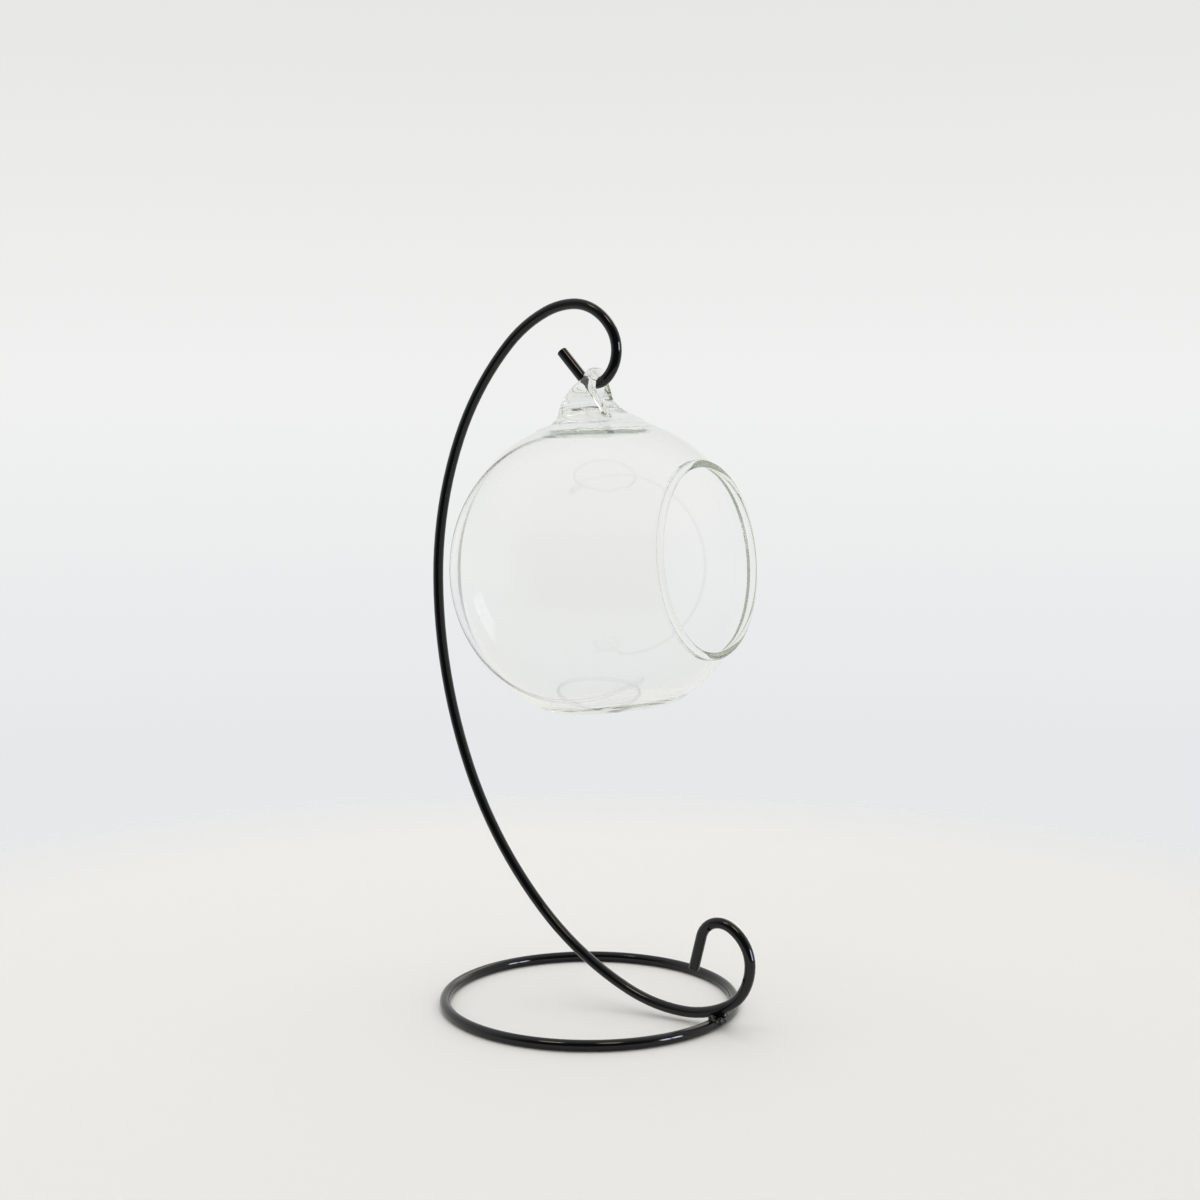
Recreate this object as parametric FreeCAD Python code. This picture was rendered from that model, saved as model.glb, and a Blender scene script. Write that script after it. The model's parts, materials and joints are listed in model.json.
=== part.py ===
import FreeCAD, Part
import math
import os

# Air plant holder: a blown glass globe that hangs by its glass eye from one bent wire stand.
# The stem lies in the XZ plane, its bow to the left (-X) and its curled tail to the right (+X).
# The origin is the middle of the base ring on the table, +Z up, in millimetres and degrees.

# Wire of the stand
wire_diameter = 3.5
ring_radius = 48.0          # base ring, to the middle of its wire
cross_gap = 0.1             # between stem and ring where they cross, filled by the weld
table_clearance = 1.4       # under the lowest point of the stem
end_round = 0.3             # on the cut ends of the wire

# Globe, from its middle
globe_radius = 49.4         # outside of the glass
glass_wall = 1.6
base_lift = 4.7             # the flat underneath lies this far inside the whole ball
base_corner = 8.0           # soft corner between flat and ball
base_wall = 2.6
globe_room = 95.4           # from the table to the underside of the whole ball
globe_tilt = 6.0            # mouth side up
mouth_radius = 30.2         # to the middle of the fire-polished lip
lip_diameter = 3.0
neck_radius = 8.8
neck_sweep = 2.5            # hollow curve between ball and neck
neck_rise = 2.9             # from that curve to the top of the neck
neck_top_radius = 8.0

# Glass eye on the neck
eye_gap = 0.3               # between the wire's top and the inside of the eye
eye_hole = 8.1              # inside width
eye_band = 5.4              # width of the glass band along the wire
eye_thickness = 2.9
eye_rise = 4.6              # from the neck's top to the middle of the hole
eye_shift = 2.6             # the globe's middle hangs this far to the mouth side of the eye
foot_length = 10.0          # each leg's foot on the neck
foot_width = 4.8
curl_diameter = 2.5         # drawn-out end of the glass, laid over the shoulder
curl_start_forward = 1.6    # from the eye's middle, along the wire
curl_start_rise = 1.0
curl_reach = 9.8            # from the eye's middle to the curl's tip, along the wire
curl_side = 8.6             # the tip's distance in front of the stem's plane
curl_sag = 2.2              # how far the curl hangs below its straight line
curl_melt = 0.5             # how deep its tip has melted into the ball

# Hook, from the low point where the eye hangs
hook_inset = 2.3            # the low point, from the ring's middle to the tail side
hook_bend = 7.0             # low bend on the tip's side
tip_turn = 47.5
tip_length = 11.5
hook_side_reach = 8.0
hook_side_rise = 10.4
hook_side_bend = 13.0
hook_top_back = 8.8
hook_top_rise = 25.85

# Bow round the globe
bow_gap = 15.5              # glass to wire at the bow's far left
bow_side_drop = 5.3         # the far left lies this far below the globe's middle
crown_bend = 26.5
shoulder_bend = 46.0
back_bend = 170.0
haunch_bend = 138.0

# Foot on the ring, and the curled tail
foot_bend = 33.0
tail_reach = 11.65          # outside the ring's own wire
tail_side_height = 21.5
tail_side_bend = 12.5
tail_top_back = 10.8
tail_top_rise = 12.4
tail_end_bend = 6.8
tail_end_turn = 76.0
tail_leg = 11.5

# Weld beads where the stem crosses the ring
bead_radius = 1.6
bead_reach = 2.3            # from the crossing to the middle of each bead
near_bead_count = 4
far_bead_count = 3
near_start = -145.0         # direction of the first bead, 0 outward from the ring and 90 to the far side
near_spread = 125.0
far_start = 77.0
far_spread = 41.0

# Places that follow
wire_radius = wire_diameter / 2
globe_height = globe_room + globe_radius
base_height = globe_radius - base_lift
sweep_side = neck_radius + neck_sweep
sweep_height = math.sqrt((globe_radius + neck_sweep) ** 2 - sweep_side ** 2)
neck_top = sweep_height + neck_rise
tilt = math.radians(globe_tilt)
eye_height = globe_height + neck_top * math.cos(tilt) + eye_rise
hook_height = eye_height + eye_hole / 2 - eye_gap - wire_radius
globe_place = hook_inset + eye_shift
foot_height = table_clearance + wire_radius
cross_span = foot_bend + wire_diameter + cross_gap
cross_drop = foot_height + foot_bend - wire_radius
foot_place = ring_radius - math.sqrt(cross_span ** 2 - cross_drop ** 2)


def at(x, z, y=0.0):
    return FreeCAD.Vector(x, y, z)


def heading(degrees):
    # direction in the stem's plane, 0 towards the tail and 90 up
    return at(math.cos(math.radians(degrees)), math.sin(math.radians(degrees)))


def bend(start, degrees, radius, turn):
    # one bend: its edge, the place where it ends and the heading there
    side = math.copysign(1.0, turn)
    outward = degrees - 90.0 * side
    middle = start - heading(outward) * radius
    halfway = middle + heading(outward + turn / 2) * radius
    end = middle + heading(outward + turn) * radius
    return Part.Arc(start, halfway, end).toShape(), end, degrees + turn


def straight(start, degrees, length):
    end = start + heading(degrees) * length
    return Part.LineSegment(start, end).toShape(), end


def quarter(name, start, degrees, side, end, first_bends=()):
    # A quarter turn to the left (1) or right (-1), in bends of equal angle.
    # The first bends have the given radii, and the last two are those that reach the end.
    count = len(first_bends) + 2
    step = 90.0 / count
    span = end - start
    ahead = span.dot(heading(degrees))
    aside = span.dot(heading(degrees + 90.0 * side))
    shares = []
    for number in range(count):
        low, high = math.radians(number * step), math.radians((number + 1) * step)
        shares.append((math.sin(high) - math.sin(low), math.cos(low) - math.cos(high)))
    for radius, (ahead_share, aside_share) in zip(first_bends, shares):
        ahead -= radius * ahead_share
        aside -= radius * aside_share
    (ahead_a, aside_a), (ahead_b, aside_b) = shares[-2:]
    scale = ahead_a * aside_b - ahead_b * aside_a
    last_bends = ((ahead * aside_b - aside * ahead_b) / scale,
                  (aside * ahead_a - ahead * aside_a) / scale)
    edges, place, facing = [], start, degrees
    for radius in tuple(first_bends) + last_bends:
        edge, place, facing = bend(place, facing, radius, side * step)
        edges.append(edge)
    print(name, "bends", [round(radius, 1) for radius in tuple(first_bends) + last_bends])
    return edges


def make_stem():
    hook_low = at(hook_inset, hook_height)
    hook_side = hook_low + at(hook_side_reach, hook_side_rise)
    hook_top = hook_low + at(-hook_top_back, hook_top_rise)
    bow_side = at(globe_place - globe_radius - bow_gap - wire_radius, globe_height - bow_side_drop)
    foot = at(foot_place, foot_height)
    tail_side = at(ring_radius + tail_reach, tail_side_height)
    tail_top = tail_side + at(-tail_top_back, tail_top_rise)

    low_bend, low_end, tip_heading = bend(hook_low, 180.0, hook_bend, -tip_turn)
    tip, tip_end = straight(low_end, tip_heading, tip_length)
    edges = [tip, low_bend]
    edges += quarter("hook side", hook_side, 270.0, -1, hook_low)
    edges += quarter("hook top", hook_side, 90.0, 1, hook_top, (hook_side_bend,))
    edges += quarter("bow shoulder", hook_top, 180.0, 1, bow_side, (crown_bend, shoulder_bend))
    edges += quarter("bow back", bow_side, 270.0, 1, foot, (back_bend, haunch_bend))
    edges += quarter("foot", foot, 0.0, 1, tail_side, (foot_bend,))
    edges += quarter("tail", tail_side, 90.0, 1, tail_top, (tail_side_bend,))
    end_bend, bend_end, leg_heading = bend(tail_top, 180.0, tail_end_bend, tail_end_turn)
    leg, leg_end = straight(bend_end, leg_heading, tail_leg)
    edges += [end_bend, leg]

    path = Part.Wire(Part.__sortEdges__(edges))
    section = Part.Wire(Part.makeCircle(wire_radius, tip_end, heading(tip_heading)))
    wire = path.makePipeShell([section], True, False)
    print("stem length", round(path.Length, 1), "fill",
          round(wire.Volume / (math.pi * wire_radius ** 2 * path.Length), 4))
    rims = [edge for edge in wire.Edges
            if any(edge.Closed and edge.CenterOfMass.distanceToPoint(end) < end_round
                   for end in (tip_end, leg_end))]
    print("hook low point", hook_low, "low bend ends", low_end, "tip ends", tip_end, "heading", tip_heading)
    return wire.makeFillet(end_round, rims)


def make_ring():
    # the seam of its surface lies under the bow, away from the weld
    ring = Part.makeTorus(ring_radius, wire_radius, at(0.0, wire_radius))
    ring.rotate(FreeCAD.Vector(), FreeCAD.Vector(0, 0, 1), 180)
    return ring


def make_foot_ring():
    # the whole ring that the stem's bend over the base ring is a part of
    middle = at(foot_place, foot_height + foot_bend)
    return Part.makeTorus(foot_bend, wire_radius, middle, FreeCAD.Vector(0, 1, 0))


def make_weld(start, spread, count, taken):
    # a row of beads round one side of the crossing, each cut to what is there already
    crossing = at(ring_radius, wire_diameter)
    beads = []
    for number in range(count):
        angle = math.radians(start + spread * number / (count - 1))
        middle = crossing + at(bead_reach * math.cos(angle), 0.0, bead_reach * math.sin(angle))
        bead = Part.makeSphere(bead_radius, middle)
        for shape in taken:
            bead = bead.cut(shape)
        beads.append(bead)
    return beads[0].multiFuse(beads[1:])


def revolved(edges):
    face = Part.Face(Part.Wire(Part.__sortEdges__(edges)))
    return face.revolve(FreeCAD.Vector(), FreeCAD.Vector(0, 0, 1), 360)


def ball_edges(radius, flat, corner, sweep, neck):
    # outline of the glass from the flat underneath to the end of the neck's hollow curve
    corner_side = math.sqrt((radius - corner) ** 2 - (flat - corner) ** 2)
    corner_middle = at(corner_side, corner - flat)
    corner_out = corner_middle * (1 / corner_middle.Length)
    corner_half = (corner_out + at(0.0, -1.0)).normalize()
    sweep_middle = at(sweep_side, sweep_height)
    sweep_in = sweep_middle * (1 / sweep_middle.Length)
    sweep_half = (sweep_in + at(1.0, 0.0)).normalize()
    low, flat_end = at(0.0, -flat), at(corner_side, -flat)
    side = at(radius, 0.0)
    neck_end = at(neck, sweep_height)
    edges = [
        Part.LineSegment(low, flat_end),
        Part.Arc(flat_end, corner_middle + corner_half * corner, corner_out * radius),
        Part.Arc(corner_out * radius, side, sweep_in * radius),
        Part.Arc(sweep_in * radius, sweep_middle - sweep_half * sweep, neck_end),
    ]
    return [edge.toShape() for edge in edges], low, neck_end


def make_globe():
    edges, low, neck_end = ball_edges(globe_radius, base_height, base_corner, neck_sweep, neck_radius)
    rim, top = at(neck_top_radius, neck_top), at(0.0, neck_top)
    edges += [Part.LineSegment(*ends).toShape() for ends in ((neck_end, rim), (rim, top), (top, low))]
    outside = revolved(edges)

    edges, low, neck_end = ball_edges(globe_radius - glass_wall, base_height - base_wall,
                                      base_corner - glass_wall, neck_sweep + glass_wall,
                                      neck_radius - glass_wall)
    top = at(0.0, neck_top - glass_wall)
    edges += [Part.LineSegment(*ends).toShape() for ends in ((neck_end, top), (top, low))]
    inside = revolved(edges)

    # the mouth is cut off flat, and its edge melts into a round lip
    mouth_place = math.sqrt((globe_radius - glass_wall / 2) ** 2 - mouth_radius ** 2)
    beyond = Part.makeBox(globe_radius, 2 * globe_radius, 2 * globe_radius,
                          at(mouth_place, -globe_radius, -globe_radius))
    lip = Part.makeTorus(mouth_radius, lip_diameter / 2, at(mouth_place, 0.0), FreeCAD.Vector(1, 0, 0))
    glass = outside.cut(inside).cut(beyond).fuse(lip)
    return hang(glass), hang(outside)


def hang(shape):
    # turns a shape of the upright globe to its tilt and moves it under the hook
    hung = shape.copy()
    hung.rotate(FreeCAD.Vector(), FreeCAD.Vector(0, 1, 0), -globe_tilt)
    hung.translate(at(globe_place, globe_height))
    return hung


def oval(middle, half_length, half_width):
    # level oval, longer along X
    shape = Part.Ellipse(FreeCAD.Vector(), half_length, half_width).toShape()
    shape.translate(middle)
    return Part.Wire(shape)


def make_eye(ball):
    middle = at(hook_inset, eye_height)
    band_side = (eye_hole + eye_thickness) / 2
    half_band, half_thick = eye_band / 2, eye_thickness / 2
    section = oval(middle + at(0.0, 0.0, -band_side), half_band, half_thick)
    arch = Part.Face(section).revolve(middle, FreeCAD.Vector(1, 0, 0), -180)
    eye = arch
    for side in (-1, 1):
        upper = oval(middle + at(0.0, 0.0, side * band_side), half_band, half_thick)
        foot = oval(at(0.0, neck_top, side * band_side), foot_length / 2, foot_width / 2)
        eye = eye.fuse(Part.makeLoft([hang(foot), upper], True))

    # the drawn-out end runs from the near leg down over the shoulder
    start = middle + at(curl_start_forward, curl_start_rise, -band_side)
    across = at(hook_inset + curl_reach - globe_place, 0.0, -curl_side)
    rise = math.sqrt(globe_radius ** 2 - across.Length ** 2)
    tip = at(globe_place, globe_height) + across + at(0.0, rise + curl_diameter / 2 - curl_melt)
    sag = (start + tip) * 0.5 + at(0.0, -curl_sag)
    line = Part.Arc(start, sag, tip).toShape()
    away = line.tangentAt(line.FirstParameter)
    section = Part.Wire(Part.makeCircle(curl_diameter / 2, start, away))
    curl = Part.Wire(line).makePipeShell([section], True, False)
    ends = [Part.makeSphere(curl_diameter / 2, end) for end in (start, tip)]
    return eye.multiFuse([curl] + ends).cut(ball)


os.makedirs("parts", exist_ok=True)
stem = make_stem()
ring = make_ring()
wires = [ring, make_foot_ring()]
near_weld = make_weld(near_start, near_spread, near_bead_count, wires)
globe, ball = make_globe()
parts = {
    "hook_stem": stem,
    "base_ring": ring,
    "near_weld": near_weld,
    "far_weld": make_weld(far_start, far_spread, far_bead_count, wires + [near_weld]),
    "glass_globe": globe,
    "hanging_eye": make_eye(ball),
}
for name, shape in parts.items():
    solid = shape.removeSplitter() if len(shape.Solids) == 1 else shape
    box = solid.BoundBox
    print(name, "solids", len(solid.Solids), "valid", solid.isValid(), "volume", round(solid.Volume, 1),
          "box", [round(v, 2) for v in (box.XMin, box.YMin, box.ZMin, box.XMax, box.YMax, box.ZMax)])
    solid.exportStep("parts/" + name + ".step")
print("clearance of the stem to the glass", round(stem.distToShape(globe)[0], 3),
      "and to the eye", round(stem.distToShape(parts["hanging_eye"])[0], 3))
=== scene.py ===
import bpy
import json
import math
from mathutils import Matrix, Vector

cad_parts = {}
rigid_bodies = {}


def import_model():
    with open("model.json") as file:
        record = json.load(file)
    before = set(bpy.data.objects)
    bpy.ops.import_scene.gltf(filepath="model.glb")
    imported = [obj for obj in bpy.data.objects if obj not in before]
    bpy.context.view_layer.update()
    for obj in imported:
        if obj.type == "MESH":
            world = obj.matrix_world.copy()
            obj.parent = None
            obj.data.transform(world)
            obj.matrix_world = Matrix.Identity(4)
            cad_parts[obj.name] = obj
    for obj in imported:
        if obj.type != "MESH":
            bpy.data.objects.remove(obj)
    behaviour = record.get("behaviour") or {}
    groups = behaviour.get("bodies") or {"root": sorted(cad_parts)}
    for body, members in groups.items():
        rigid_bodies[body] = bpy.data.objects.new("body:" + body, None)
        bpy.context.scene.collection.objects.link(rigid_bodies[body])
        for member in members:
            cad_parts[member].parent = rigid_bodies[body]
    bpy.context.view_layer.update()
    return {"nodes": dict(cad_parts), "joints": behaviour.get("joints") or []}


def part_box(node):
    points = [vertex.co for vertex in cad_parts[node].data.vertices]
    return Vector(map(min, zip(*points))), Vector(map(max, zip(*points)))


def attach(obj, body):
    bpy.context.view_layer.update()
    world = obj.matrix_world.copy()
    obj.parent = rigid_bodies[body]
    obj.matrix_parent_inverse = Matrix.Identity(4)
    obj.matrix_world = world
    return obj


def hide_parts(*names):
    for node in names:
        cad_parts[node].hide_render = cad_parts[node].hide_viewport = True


# Air plant holder: a blown glass globe on a bent wire stand. Metres, +Z up, base ring's middle at the origin
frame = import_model()
mm = 0.001

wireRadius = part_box("base_ring")[1].z / 2
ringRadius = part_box("base_ring")[1].x - wireRadius
hookLow = Vector(frame["joints"][0]["pos_m"])  # middle of the wire where the eye hangs
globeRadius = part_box("glass_globe")[1].y
globeHeight = 144.8 * mm  # of the ball's middle
globeMiddle = Vector((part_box("glass_globe")[0].x + globeRadius, 0, globeHeight))
mergeDistance = 0.001 * mm


def clearSelection():
    for obj in bpy.context.scene.objects:
        obj.select_set(False)


def makeActive(obj):
    clearSelection()
    obj.select_set(True)
    bpy.context.view_layer.objects.active = obj
    return obj


def named(name):
    obj = bpy.context.active_object
    obj.name = obj.data.name = name
    return makeActive(obj)


def applyPlace(obj):
    makeActive(obj)
    bpy.ops.object.transform_apply(location=True, rotation=True, scale=True)
    return obj


def applyModifier(obj, kind, **settings):
    makeActive(obj)
    modifier = obj.modifiers.new(kind.title(), kind)
    for key, value in settings.items():
        setattr(modifier, key, value)
    bpy.ops.object.modifier_apply(modifier=modifier.name)
    return obj


def boolean(obj, other, operation):
    applyModifier(obj, "BOOLEAN", operation=operation, solver="EXACT", object=other)
    bpy.data.objects.remove(other)
    return obj


def joinAll(objects):
    clearSelection()
    for obj in objects:
        obj.select_set(True)
    bpy.context.view_layer.objects.active = objects[0]
    bpy.ops.object.join()
    return objects[0]


def smoothShade(obj, degrees):
    makeActive(obj)
    bpy.ops.object.shade_smooth_by_angle(angle=math.radians(degrees))
    return obj


# Materials

def linear(hexColour):
    channels = [int(hexColour[i:i + 2], 16) / 255 for i in (1, 3, 5)]
    return tuple(c / 12.92 if c <= 0.04045 else ((c + 0.055) / 1.055) ** 2.4 for c in channels) + (1.0,)


def addNode(tree, kind, settings=None, **inputs):
    node = tree.nodes.new(kind)
    for key, value in (settings or {}).items():
        setattr(node, key, value)
    for key, value in inputs.items():
        # _0 is an input by its number, Base_Color one by its name
        socket = node.inputs[int(key[1:]) if key[0] == "_" else key.replace("_", " ")]
        if isinstance(value, bpy.types.NodeSocket):
            tree.links.new(value, socket)
        else:
            socket.default_value = value
    return node


def newMaterial(name):
    material = bpy.data.materials.new(name)
    material.use_nodes = True
    material.node_tree.nodes.clear()
    return material, material.node_tree


def finishMaterial(tree, surface):
    addNode(tree, "ShaderNodeOutputMaterial", Surface=surface.outputs[0])


def setMaterial(obj, material):
    obj.data.materials.clear()
    obj.data.materials.append(material)


# Black baked enamel on drawn steel wire: dipped and stoved, for long clear streaks with a faint orange peel
def blackEnamel(name, look):
    material, tree = newMaterial(name)
    place = addNode(tree, "ShaderNodeTexCoord").outputs["Object"]
    peel = addNode(tree, "ShaderNodeTexNoise", Vector=place, Scale=1 / (look["peelSize"] * mm), Detail=2.0)
    cloud = addNode(tree, "ShaderNodeTexNoise", Vector=place, Scale=1 / (look["cloudSize"] * mm), Detail=3.0)
    bump = addNode(tree, "ShaderNodeBump", Strength=look["peelStrength"], Distance=look["peelDepth"] * mm,
                   Height=peel.outputs["Fac"])
    gloss = addNode(tree, "ShaderNodeMapRange", Value=cloud.outputs["Fac"], From_Min=0.35, From_Max=0.65,
                    To_Min=look["roughness"][0], To_Max=look["roughness"][1])
    tone = addNode(tree, "ShaderNodeMix", {"data_type": "RGBA"}, Factor=cloud.outputs["Fac"])
    tone.inputs[6].default_value = linear(look["deep"])
    tone.inputs[7].default_value = linear(look["pale"])
    enamel = addNode(tree, "ShaderNodeBsdfPrincipled", Base_Color=tone.outputs[2], IOR=look["ior"],
                     Roughness=gloss.outputs[0], Normal=bump.outputs[0])
    finishMaterial(tree, enamel)
    return material


wireLook = {"deep": "#060708", "pale": "#0c0e0f", "ior": 1.42, "roughness": (0.06, 0.11), "peelSize": 2.2,
            "peelDepth": 0.008, "peelStrength": 0.15, "cloudSize": 14.0}
weldLook = {"deep": "#070808", "pale": "#161717", "ior": 1.45, "roughness": (0.12, 0.34), "peelSize": 0.45,
            "peelDepth": 0.1, "peelStrength": 0.5, "cloudSize": 1.5}

# Soda-lime glass, blown and fire-polished: clear, with soft waves that bend what is seen through it, and a
# grey-green tone where it is looked at through its depth
glassLook = {"colour": "#fffffe", "ior": 1.5, "waveSize": 16.0, "waveDepth": 0.25, "waveStrength": 0.1,
             "depthColour": "#dadfd5", "depth": 8.0}   # per metre of glass


def blownGlass(look):
    material, tree = newMaterial("blownSodaLimeGlass")
    place = addNode(tree, "ShaderNodeTexCoord").outputs["Object"]
    wave = addNode(tree, "ShaderNodeTexNoise", Vector=place, Scale=1 / (look["waveSize"] * mm), Detail=1.0)
    bump = addNode(tree, "ShaderNodeBump", Strength=look["waveStrength"], Distance=look["waveDepth"] * mm,
                   Height=wave.outputs["Fac"])
    glass = addNode(tree, "ShaderNodeBsdfPrincipled", Base_Color=linear(look["colour"]), IOR=look["ior"],
                    Roughness=0.0, Transmission_Weight=1.0, Normal=bump.outputs[0])
    clear = addNode(tree, "ShaderNodeBsdfTransparent", Color=linear(look["colour"]))
    shadow = addNode(tree, "ShaderNodeLightPath").outputs["Is Shadow Ray"]
    both = addNode(tree, "ShaderNodeMixShader", _0=shadow, _1=glass.outputs[0], _2=clear.outputs[0])
    depth = addNode(tree, "ShaderNodeVolumeAbsorption", Color=linear(look["depthColour"]),
                    Density=look["depth"])
    addNode(tree, "ShaderNodeOutputMaterial", Surface=both.outputs[0], Volume=depth.outputs[0])
    return material


# Stand: the wires are the frame's own pieces
enamel = blackEnamel("blackStovedEnamel", wireLook)
for node in ("hook_stem", "base_ring"):
    setMaterial(frame["nodes"][node], enamel)

# Near weld: beads laid along the ring's outer shoulder, under the stem. Millimetres
weld = {
    "beads": [(47.5, -2.2, 3.4, 1.35), (48.7, -3.1, 2.7, 1.3), (49.5, -1.2, 2.5, 1.45),
              (49.8, 0.9, 2.7, 1.35), (49.3, 1.8, 3.9, 1.6), (49.0, 3.8, 2.9, 1.25)],   # place and radius
    "voxel": 0.16,
    "smooth": 3,
    "rough": 0.35,
    "roughSize": 1.1,
    "shadeAngle": 60,
}


def makeNearWeld():
    beads = []
    for x, y, z, radius in weld["beads"]:
        clearSelection()
        bpy.ops.mesh.primitive_uv_sphere_add(segments=24, ring_count=16, radius=radius * mm,
                                             location=(x * mm, y * mm, z * mm))
        beads.append(applyPlace(named("bead")))
    piece = joinAll(beads)
    applyModifier(piece, "REMESH", mode="VOXEL", voxel_size=weld["voxel"] * mm)
    spatter = bpy.data.textures.new("spatter", "CLOUDS")
    spatter.noise_scale = weld["roughSize"] * mm
    applyModifier(piece, "DISPLACE", texture=spatter, texture_coords="LOCAL", strength=weld["rough"] * mm)
    applyModifier(piece, "SMOOTH", factor=0.5, iterations=weld["smooth"])
    piece.name = piece.data.name = "near_weld_beads"
    smoothShade(piece, weld["shadeAngle"])
    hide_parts("near_weld")
    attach(piece, "stand")
    return piece


weldEnamel = blackEnamel("blackEnamelOverWeld", weldLook)
setMaterial(frame["nodes"]["far_weld"], weldEnamel)
setMaterial(makeNearWeld(), weldEnamel)
print("stand finished")


# Globe, blown as a ball, cut open at the mouth and flattened below. Millimetres, from the ball's middle
globe = {
    "wall": 1.6,
    "tilt": 6.0,           # mouth side up
    "segments": 192,
    "rings": 112,
    "mouthRadius": 30.2,
    "lipThick": 2.4,
    "lipOut": 1.5,         # the wall runs this far past the cut
    "floorDrop": 45.7,     # down to the flat underneath
    "floorWall": 2.6,
    "cornerSoft": 0.7,
    "cornerReach": 6.0,    # how many times its softness the corner runs up the wall
    "waveHigh": 0.22,      # waves inside the floor, left by the pontil
    "waveLong": 9.0,
    "waveTurns": (2.0, 2.6),   # radians over that length, along and across
    "waveDrift": (11.0, 7.0),  # length over which each row wanders
    "waveSway": 2.0,
    "crossWave": 0.7,      # height of the cross row as a share of the first
    "pontilRadius": 5.0,
    "pontilHigh": 0.7,
}


def flattenFloor(obj):
    # presses the bottom of both walls flat with a soft corner
    halfWall = globeRadius - globe["wall"] * mm / 2
    drops = (globe["floorDrop"] * mm, (globe["floorDrop"] - globe["floorWall"]) * mm)
    soft = globe["cornerSoft"] * mm
    for vertex in obj.data.vertices:
        inner = vertex.co.length < halfWall
        drop = drops[inner]
        depth = vertex.co.z + drop
        if depth < globe["cornerReach"] * soft:
            vertex.co.z = (depth + math.sqrt(depth ** 2 + soft ** 2)) / 2 - drop
            flat = min(1.0, max(0.0, -depth / soft))
            if inner and flat > 0:
                along, across = (place / (globe["waveLong"] * mm) * turns
                                 for place, turns in zip(vertex.co.xy, globe["waveTurns"]))
                drift = math.sin(vertex.co.y / (globe["waveDrift"][0] * mm))
                wave = math.sin(along + globe["waveSway"] * drift)
                wave += globe["crossWave"] * math.sin(across + vertex.co.x / (globe["waveDrift"][1] * mm))
                middle = math.exp(-(vertex.co.xy.length / (globe["pontilRadius"] * mm)) ** 2)
                vertex.co.z += flat * (globe["waveHigh"] * mm * wave + globe["pontilHigh"] * mm * middle)


def makeBall():
    mouthRadius = globe["mouthRadius"] * mm
    mouthPlace = math.sqrt((globeRadius - globe["wall"] * mm / 2) ** 2 - mouthRadius ** 2)
    clearSelection()
    bpy.ops.mesh.primitive_uv_sphere_add(segments=globe["segments"], ring_count=globe["rings"],
                                         radius=globeRadius, rotation=(0, math.pi / 2, 0))
    ball = applyPlace(named("blownGlobe"))
    bpy.ops.object.mode_set(mode="EDIT")
    bpy.ops.mesh.select_all(action="SELECT")
    bpy.ops.mesh.bisect(plane_co=(mouthPlace, 0, 0), plane_no=(1, 0, 0), clear_outer=True)
    bpy.ops.mesh.select_all(action="DESELECT")
    bpy.ops.mesh.select_non_manifold()
    bpy.ops.mesh.extrude_region_move(TRANSFORM_OT_translate={"value": (globe["lipOut"] * mm, 0, 0)})
    bpy.ops.mesh.select_all(action="SELECT")
    bpy.ops.mesh.normals_make_consistent(inside=False)
    bpy.ops.object.mode_set(mode="OBJECT")
    applyModifier(ball, "SOLIDIFY", thickness=globe["wall"] * mm, offset=-1, use_even_offset=True)
    flattenFloor(ball)

    clearSelection()
    bpy.ops.mesh.primitive_torus_add(major_radius=mouthRadius, minor_radius=globe["lipThick"] * mm / 2,
                                     major_segments=globe["segments"], minor_segments=32,
                                     location=(mouthPlace + globe["lipOut"] * mm, 0, 0),
                                     rotation=(0, math.pi / 2, 0))
    lip = applyPlace(named("lip"))
    boolean(ball, lip, "UNION")
    tilt = Matrix.Rotation(-math.radians(globe["tilt"]), 4, "Y")
    ball.data.transform(Matrix.Translation(globeMiddle) @ tilt)
    return ball


# Neck and eye: a bell of glass drawn up from the ball, pinched shut and pierced for the wire. Millimetres
neck = {
    # height, middle along the stem's plane, half width along it, half width across it
    "outside": [(188.5, 3.9, 18.0, 18.0), (190.6, 3.9, 16.4, 16.4), (192.4, 4.1, 14.9, 14.9),
                (193.7, 3.6, 13.5, 13.3), (195.2, 2.0, 11.7, 11.6), (196.8, 0.5, 10.0, 10.1),
                (199.2, -0.4, 8.3, 8.8), (203.2, 0.5, 5.8, 7.6), (205.8, 2.0, 3.3, 6.5),
                (207.0, 2.3, 2.8, 5.7), (208.2, 2.3, 2.6, 4.6), (209.4, 2.3, 1.9, 2.8),
                (209.8, 2.3, 0.9, 1.2)],
    "inside": [(187.0, 4.3, 21.2, 21.2), (188.4, 4.2, 19.3, 19.3), (189.6, 4.1, 17.3, 17.3),
               (190.6, 4.0, 15.6, 15.6), (191.6, 3.8, 14.1, 14.1), (192.6, 3.4, 12.8, 12.8),
               (193.6, 2.7, 11.5, 11.5), (194.6, 1.8, 10.1, 10.1), (195.4, 1.2, 8.8, 8.8),
               (196.0, 0.9, 7.4, 7.4), (196.5, 0.7, 5.2, 5.2), (196.7, 0.7, 2.5, 2.5)],
    "steps": 5,
    "gap": 0.35,           # over the wire
    "hole": 8.1,
    "holeLong": 40.0,
    "bend": 6.5,           # about that of the wire's middle line at its low point
    "voxel": 0.22,
    "smooth": 30,
    "shadeAngle": 40,
    "sink": 0.6,           # into the ball's wall, as a share of it
    "curl": [(2.0, -1.6, 208.3), (2.4, -4.6, 207.2), (3.4, -6.1, 204.8), (4.9, -6.9, 202.6),
             (7.2, -7.7, 200.2), (9.9, -8.4, 197.4), (12.3, -9.1, 194.7)],
    "curlThick": (2.0, 2.4),   # where it leaves the eye, and at its end
    "curlEnd": 1.04,       # its melted ends, as a share of its thickness
}


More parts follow.
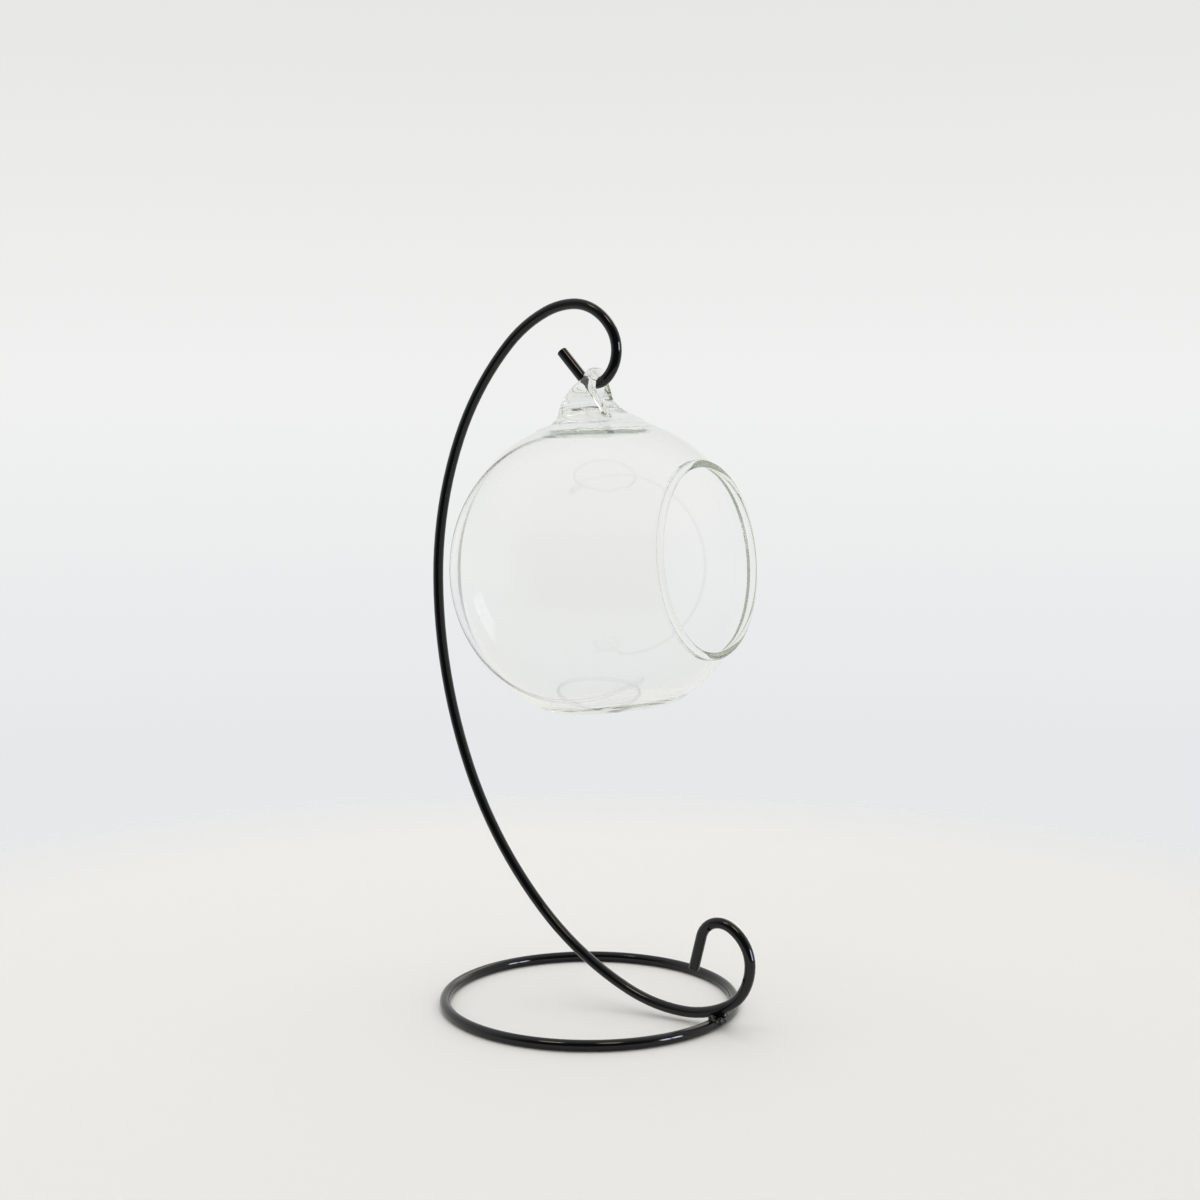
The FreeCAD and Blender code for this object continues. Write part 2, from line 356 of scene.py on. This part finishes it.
def evened(levels, steps):
    # more levels on the smooth line through the given ones
    padded = [levels[0], *levels, levels[-1]]
    line = []
    for before, start, end, after in zip(padded, padded[1:], padded[2:], padded[3:]):
        for share in (step / steps for step in range(steps)):
            line.append(tuple(start[i] + share * (end[i] - before[i] + share * (
                2 * before[i] - 5 * start[i] + 4 * end[i] - after[i] + share * (
                    3 * start[i] - before[i] - 3 * end[i] + after[i]))) / 2 for i in range(4)))
    return line + [levels[-1]]


def loft(name, levels, segments=96):
    # a tall shape from the ellipses of its levels, lowest first
    levels = evened(levels, neck["steps"])
    clearSelection()
    height, middle, along, across = levels[0]
    bpy.ops.mesh.primitive_circle_add(vertices=segments, radius=along * mm, fill_type="NGON",
                                      location=(middle * mm, 0, height * mm))
    obj = applyPlace(named(name))
    bpy.ops.object.mode_set(mode="EDIT")
    bpy.ops.mesh.select_all(action="SELECT")
    for nextHeight, nextMiddle, nextAlong, nextAcross in levels[1:]:
        step = ((nextMiddle - middle) * mm, 0, (nextHeight - height) * mm)
        bpy.ops.mesh.extrude_region_move(TRANSFORM_OT_translate={"value": step})
        bpy.ops.transform.resize(value=(nextAlong / along, nextAcross / across, 1),
                                 center_override=(nextMiddle * mm, 0, nextHeight * mm))
        height, middle, along, across = nextHeight, nextMiddle, nextAlong, nextAcross
    bpy.ops.mesh.select_all(action="SELECT")
    bpy.ops.mesh.normals_make_consistent(inside=False)
    bpy.ops.object.mode_set(mode="OBJECT")
    return obj


def rod(name, points, thick):
    # a round rod of glass along a few points, with round ends
    curve = bpy.data.curves.new(name, "CURVE")
    curve.dimensions = "3D"
    curve.bevel_depth = thick[1] * mm / 2
    curve.bevel_resolution = 6
    curve.use_fill_caps = True
    line = curve.splines.new("NURBS")
    line.points.add(len(points) - 1)
    for index, place in enumerate(points):
        line.points[index].co = (*(Vector(place) * mm), 1)
        share = index / (len(points) - 1)
        line.points[index].radius = (thick[0] + (thick[1] - thick[0]) * share) / thick[1]
    line.order_u = 3
    line.use_endpoint_u = True
    obj = bpy.data.objects.new(name, curve)
    bpy.context.scene.collection.objects.link(obj)
    makeActive(obj)
    bpy.ops.object.convert(target="MESH")
    pieces = [obj]
    for place, width in zip((points[0], points[-1]), thick):
        clearSelection()
        bpy.ops.mesh.primitive_uv_sphere_add(segments=24, ring_count=12, location=Vector(place) * mm,
                                             radius=width * mm / 2 * neck["curlEnd"])
        pieces.append(applyPlace(named(name + "End")))
    return joinAll(pieces)


def makeNeck():
    bell = loft("bell", neck["outside"])
    holeRadius = neck["hole"] * mm / 2
    holeMiddle = hookLow + Vector((0, 0, wireRadius + neck["gap"] * mm - holeRadius))
    clearSelection()
    bpy.ops.mesh.primitive_cylinder_add(vertices=96, radius=holeRadius, depth=neck["holeLong"] * mm,
                                        location=holeMiddle, rotation=(0, math.pi / 2, 0))
    boolean(bell, applyPlace(named("hole")), "DIFFERENCE")

    # the band's underside follows the bent wire
    clearSelection()
    bpy.ops.mesh.primitive_torus_add(major_radius=neck["bend"] * mm, major_segments=96,
                                     minor_radius=wireRadius + neck["gap"] * mm, minor_segments=48,
                                     rotation=(math.pi / 2, 0, 0),
                                     location=hookLow + Vector((0, 0, neck["bend"] * mm)))
    boolean(bell, applyPlace(named("groove")), "DIFFERENCE")
    piece = joinAll([bell, rod("curl", neck["curl"], neck["curlThick"])])
    applyModifier(piece, "REMESH", mode="VOXEL", voxel_size=neck["voxel"] * mm)
    applyModifier(piece, "SMOOTH", factor=0.5, iterations=neck["smooth"])

    # what would stand inside the ball is cut away
    coreRadius = globeRadius - globe["wall"] * mm * neck["sink"]
    clearSelection()
    bpy.ops.mesh.primitive_uv_sphere_add(segments=96, ring_count=64, radius=coreRadius, location=globeMiddle)
    return boolean(piece, applyPlace(named("core")), "DIFFERENCE")


def keepLargest(obj):
    makeActive(obj)
    bpy.ops.object.mode_set(mode="EDIT")
    bpy.ops.mesh.select_all(action="SELECT")
    bpy.ops.mesh.remove_doubles(threshold=mergeDistance)
    bpy.ops.mesh.separate(type="LOOSE")
    bpy.ops.object.mode_set(mode="OBJECT")
    pieces = sorted(bpy.context.selected_objects, key=lambda piece: len(piece.data.vertices))
    for piece in pieces[:-1]:
        bpy.data.objects.remove(piece)
    return makeActive(pieces[-1])


def makeBlownGlass():
    glass = makeBall()
    print("globe blown:", len(glass.data.polygons), "faces")
    boolean(glass, makeNeck(), "UNION")
    boolean(glass, loft("bore", neck["inside"]), "DIFFERENCE")
    glass = keepLargest(glass)
    glass.name = glass.data.name = "blown_glass"
    smoothShade(glass, neck["shadeAngle"])
    setMaterial(glass, blownGlass(glassLook))
    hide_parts("glass_globe", "hanging_eye")
    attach(glass, "globe")
    print("glass finished:", len(glass.data.polygons), "faces")
    return glass


makeBlownGlass()


# Floor: matt pale board that fades out into the backdrop
floorLook = {"radius": 0.44, "fadeFrom": 0.24, "fadeTo": 0.42, "colour": "#efeeec", "roughness": 0.75,
             "grain": 1.6, "grainDepth": 0.1, "grainStrength": 0.1}


def makeFloor(look):
    clearSelection()
    bpy.ops.mesh.primitive_circle_add(vertices=128, radius=look["radius"], fill_type="NGON")
    floor = named("floor")
    material, tree = newMaterial("mattPaleBoard")
    place = addNode(tree, "ShaderNodeTexCoord").outputs["Object"]
    grain = addNode(tree, "ShaderNodeTexNoise", Vector=place, Scale=1 / (look["grain"] * mm), Detail=3.0)
    bump = addNode(tree, "ShaderNodeBump", Strength=look["grainStrength"], Distance=look["grainDepth"] * mm,
                   Height=grain.outputs["Fac"])
    board = addNode(tree, "ShaderNodeBsdfPrincipled", Base_Color=linear(look["colour"]),
                    Roughness=look["roughness"], Normal=bump.outputs[0])
    reach = addNode(tree, "ShaderNodeVectorMath", {"operation": "LENGTH"}, Vector=place)
    fade = addNode(tree, "ShaderNodeMapRange", {"interpolation_type": "SMOOTHSTEP"},
                   Value=reach.outputs["Value"], From_Min=look["fadeFrom"], From_Max=look["fadeTo"])
    clear = addNode(tree, "ShaderNodeBsdfTransparent")
    both = addNode(tree, "ShaderNodeMixShader", _0=fade.outputs[0], _1=board.outputs[0], _2=clear.outputs[0])
    finishMaterial(tree, both)
    setMaterial(floor, material)


makeFloor(floorLook)

# Camera as in the photograph, which is square
camera = {
    "place": (304.9, -481.4, 181.3),   # millimetres
    "turn": 32.0,
    "down": 4.7,
    "lens": 52.5,
    "sensor": 36.0,
    "clip": 10.0,
}


def viewDirection():
    turn, down = math.radians(camera["turn"]), math.radians(camera["down"])
    return Vector((-math.sin(turn) * math.cos(down), math.cos(turn) * math.cos(down), -math.sin(down)))


def makeCamera():
    data = bpy.data.cameras.new("camera")
    data.lens = camera["lens"]
    data.sensor_width = camera["sensor"]
    data.clip_start = camera["clip"] * mm
    obj = bpy.data.objects.new("camera", data)
    bpy.context.scene.collection.objects.link(obj)
    obj.location = Vector(camera["place"]) * mm
    obj.rotation_euler = viewDirection().to_track_quat("-Z", "Y").to_euler()
    bpy.context.scene.camera = obj


makeCamera()

# Surroundings: a pale backdrop, dimmer on the camera's side, with softboxes round it and a lamp overhead
surroundings = {
    # colour, rise
    "backdrop": [("#e6e8ea", -0.16), ("#eeefef", -0.02), ("#f0f1f0", 0.04), ("#e6e7e5", 0.26)],
    "dim": "#cdcac6",
    "dimOnWire": "#3c3c3e",
    "dimFrom": 0.1,        # cosine of the angle from the backdrop's middle where it starts to fade
    "dimTo": -0.75,
    "span": 0.5,           # of the rise that the colours cover, up and down
    "overhead": {"place": (-0.2, 0.1, 1.1), "size": 1.1, "watts": 4.0},
}
barSoft = 0.06             # softness of the bars between panes, as a share of a pane
softboxes = [
    # turn from the picture's right towards the camera, rise, half width and height, softness: degrees
    # bent is its share seen through glass, mirrored keeps it to mirrorings
    {"turn": 27, "rise": 8, "wide": 10, "high": 10, "soft": 1.0, "panes": 2, "gap": 0.1,
     "light": 22.0, "colour": "#e4ecff", "bent": 0.0},
    {"turn": 100, "rise": 64, "wide": 30, "high": 5, "soft": 1.5, "panes": 2, "gap": 0.3,
     "light": 12.0, "colour": "#f0dcc0", "bent": 0.2},
    {"turn": -38, "rise": 15, "wide": 9, "high": 8, "soft": 2.0, "panes": 4, "gap": 0.3,
     "light": 1.6, "colour": "#f6f8ff", "mirrored": True},
    {"turn": -60, "rise": 36, "wide": 14, "high": 13, "soft": 5.0, "panes": 1,
     "light": 1.5, "colour": "#fff4dc", "bent": 1.0},
]


def onWire(tree):
    # 1 for what the enamel reflects, 0 for the clear glass and all else
    path = addNode(tree, "ShaderNodeLightPath")
    rough = addNode(tree, "ShaderNodeMath", {"operation": "SUBTRACT"}, _0=path.outputs["Is Glossy Ray"],
                    _1=path.outputs["Is Singular Ray"]).outputs[0]
    outside = addNode(tree, "ShaderNodeMath", {"operation": "LESS_THAN"},
                      _0=path.outputs["Transmission Depth"], _1=0.5).outputs[0]
    return addNode(tree, "ShaderNodeMath", {"operation": "MULTIPLY"}, _0=rough, _1=outside).outputs[0]


def bentByGlass(tree):
    # 1 for what is seen straight through the glass with no mirroring in it
    path = addNode(tree, "ShaderNodeLightPath")
    straight = addNode(tree, "ShaderNodeMath", {"operation": "LESS_THAN"}, _0=path.outputs["Glossy Depth"],
                       _1=0.5).outputs[0]
    return addNode(tree, "ShaderNodeMath", {"operation": "MULTIPLY"}, _0=path.outputs["Is Singular Ray"],
                   _1=straight).outputs[0]


def addSoftbox(tree, way, look):
    # light from one softbox, seen only in reflections and through glass
    turn, rise, spin = (math.radians(angle) for angle in (look["turn"], look["rise"], camera["turn"]))
    right = Vector((math.cos(spin), math.sin(spin), 0))
    towards = Vector((math.sin(spin), -math.cos(spin), 0))
    level = right * math.cos(turn) + towards * math.sin(turn)
    ahead = level * math.cos(rise) + Vector((0, 0, math.sin(rise)))
    across = towards * math.cos(turn) - right * math.sin(turn)
    depth, side, height = (addNode(tree, "ShaderNodeVectorMath", {"operation": "DOT_PRODUCT"}, _0=way,
                                   _1=axis).outputs["Value"] for axis in (ahead, across, ahead.cross(across)))
    if look.get("mirrored"):
        light = addNode(tree, "ShaderNodeLightPath").outputs["Is Glossy Ray"]
    else:
        light = addNode(tree, "ShaderNodeMath", {"operation": "MULTIPLY_ADD"}, _0=bentByGlass(tree),
                        _1=look["bent"], _2=onWire(tree)).outputs[0]
    parts = [(side, look["wide"]), (height, look["high"])]
    for part, half in parts:
        share = addNode(tree, "ShaderNodeMath", {"operation": "DIVIDE"}, _0=part, _1=depth).outputs[0]
        apart = addNode(tree, "ShaderNodeMath", {"operation": "ABSOLUTE"}, _0=share).outputs[0]
        edge = addNode(tree, "ShaderNodeMapRange", {"interpolation_type": "SMOOTHSTEP"}, Value=apart,
                       From_Min=math.tan(math.radians(half + look["soft"])),
                       From_Max=math.tan(math.radians(half - look["soft"]))).outputs[0]
        light = addNode(tree, "ShaderNodeMath", {"operation": "MULTIPLY"}, _0=light, _1=edge).outputs[0]
        if part is side and look["panes"] > 1:
            width = 2 * math.tan(math.radians(half)) / look["panes"]
            shift = addNode(tree, "ShaderNodeMath", {"operation": "ADD"}, _0=share,
                            _1=width * look["panes"] / 2).outputs[0]
            bar = addNode(tree, "ShaderNodeMath", {"operation": "PINGPONG"}, _0=shift,
                          _1=width / 2).outputs[0]
            gap = addNode(tree, "ShaderNodeMapRange", {"interpolation_type": "SMOOTHSTEP"}, Value=bar,
                          From_Min=(look["gap"] - barSoft) * width,
                          From_Max=(look["gap"] + barSoft) * width).outputs[0]
            light = addNode(tree, "ShaderNodeMath", {"operation": "MULTIPLY"}, _0=light, _1=gap).outputs[0]
    front = addNode(tree, "ShaderNodeMath", {"operation": "GREATER_THAN"}, _0=depth, _1=0.0).outputs[0]
    light = addNode(tree, "ShaderNodeMath", {"operation": "MULTIPLY"}, _0=light, _1=front).outputs[0]
    strength = addNode(tree, "ShaderNodeMath", {"operation": "MULTIPLY"}, _0=light,
                       _1=look["light"]).outputs[0]
    return addNode(tree, "ShaderNodeBackground", Color=linear(look["colour"]), Strength=strength).outputs[0]


def makeSurroundings():
    world = bpy.data.worlds.new("surroundings")
    bpy.context.scene.world = world
    world.use_nodes = True
    tree = world.node_tree
    tree.nodes.clear()
    way = addNode(tree, "ShaderNodeTexCoord").outputs["Generated"]
    rise = addNode(tree, "ShaderNodeSeparateXYZ", Vector=way).outputs["Z"]
    span = surroundings["span"]
    high = addNode(tree, "ShaderNodeMapRange", Value=rise, From_Min=-span, From_Max=span)
    backdrop = addNode(tree, "ShaderNodeValToRGB", Fac=high.outputs[0])
    stops = backdrop.color_ramp.elements
    while len(stops) < len(surroundings["backdrop"]):
        stops.new(0.5)
    for stop, (colour, place) in zip(stops, surroundings["backdrop"]):
        stop.color = linear(colour)
        stop.position = (place + span) / (2 * span)
    ahead = viewDirection()
    ahead.z = 0
    facing = addNode(tree, "ShaderNodeVectorMath", {"operation": "DOT_PRODUCT"}, _0=way,
                     _1=ahead.normalized()).outputs["Value"]
    dim = addNode(tree, "ShaderNodeMapRange", {"interpolation_type": "SMOOTHSTEP"}, Value=facing,
                  From_Min=surroundings["dimFrom"], From_Max=surroundings["dimTo"])
    near = addNode(tree, "ShaderNodeMix", {"data_type": "RGBA"}, Factor=onWire(tree))
    near.inputs[6].default_value = linear(surroundings["dim"])
    near.inputs[7].default_value = linear(surroundings["dimOnWire"])
    both = addNode(tree, "ShaderNodeMix", {"data_type": "RGBA"}, Factor=dim.outputs[0])
    tree.links.new(backdrop.outputs[0], both.inputs[6])
    tree.links.new(near.outputs[2], both.inputs[7])
    glow = addNode(tree, "ShaderNodeBackground", Color=both.outputs[2], Strength=1.0).outputs[0]
    for look in softboxes:
        glow = addNode(tree, "ShaderNodeAddShader", _0=glow, _1=addSoftbox(tree, way, look)).outputs[0]
    addNode(tree, "ShaderNodeOutputWorld", Surface=glow)

    overhead = surroundings["overhead"]
    data = bpy.data.lights.new("overhead", "AREA")
    data.size = overhead["size"]
    data.energy = overhead["watts"]
    obj = bpy.data.objects.new("overhead", data)
    bpy.context.scene.collection.objects.link(obj)
    obj.location = overhead["place"]
    obj.rotation_euler = (-obj.location).to_track_quat("-Z", "Y").to_euler()
    obj.visible_glossy = obj.visible_transmission = False


makeSurroundings()
print("camera and light finished")
bpy.context.scene.view_settings.view_transform = "Standard"

# light runs a long way inside the glass before it comes out: a low limit turns the rim and the neck black,
# and a low least number leaves bright specks on the wire
bounces = {
    "max_bounces": 1024,
    "glossy_bounces": 1024,
    "transmission_bounces": 1024,
    "min_light_bounces": 6,
}
for limit, count in bounces.items():
    setattr(bpy.context.scene.cycles, limit, count)
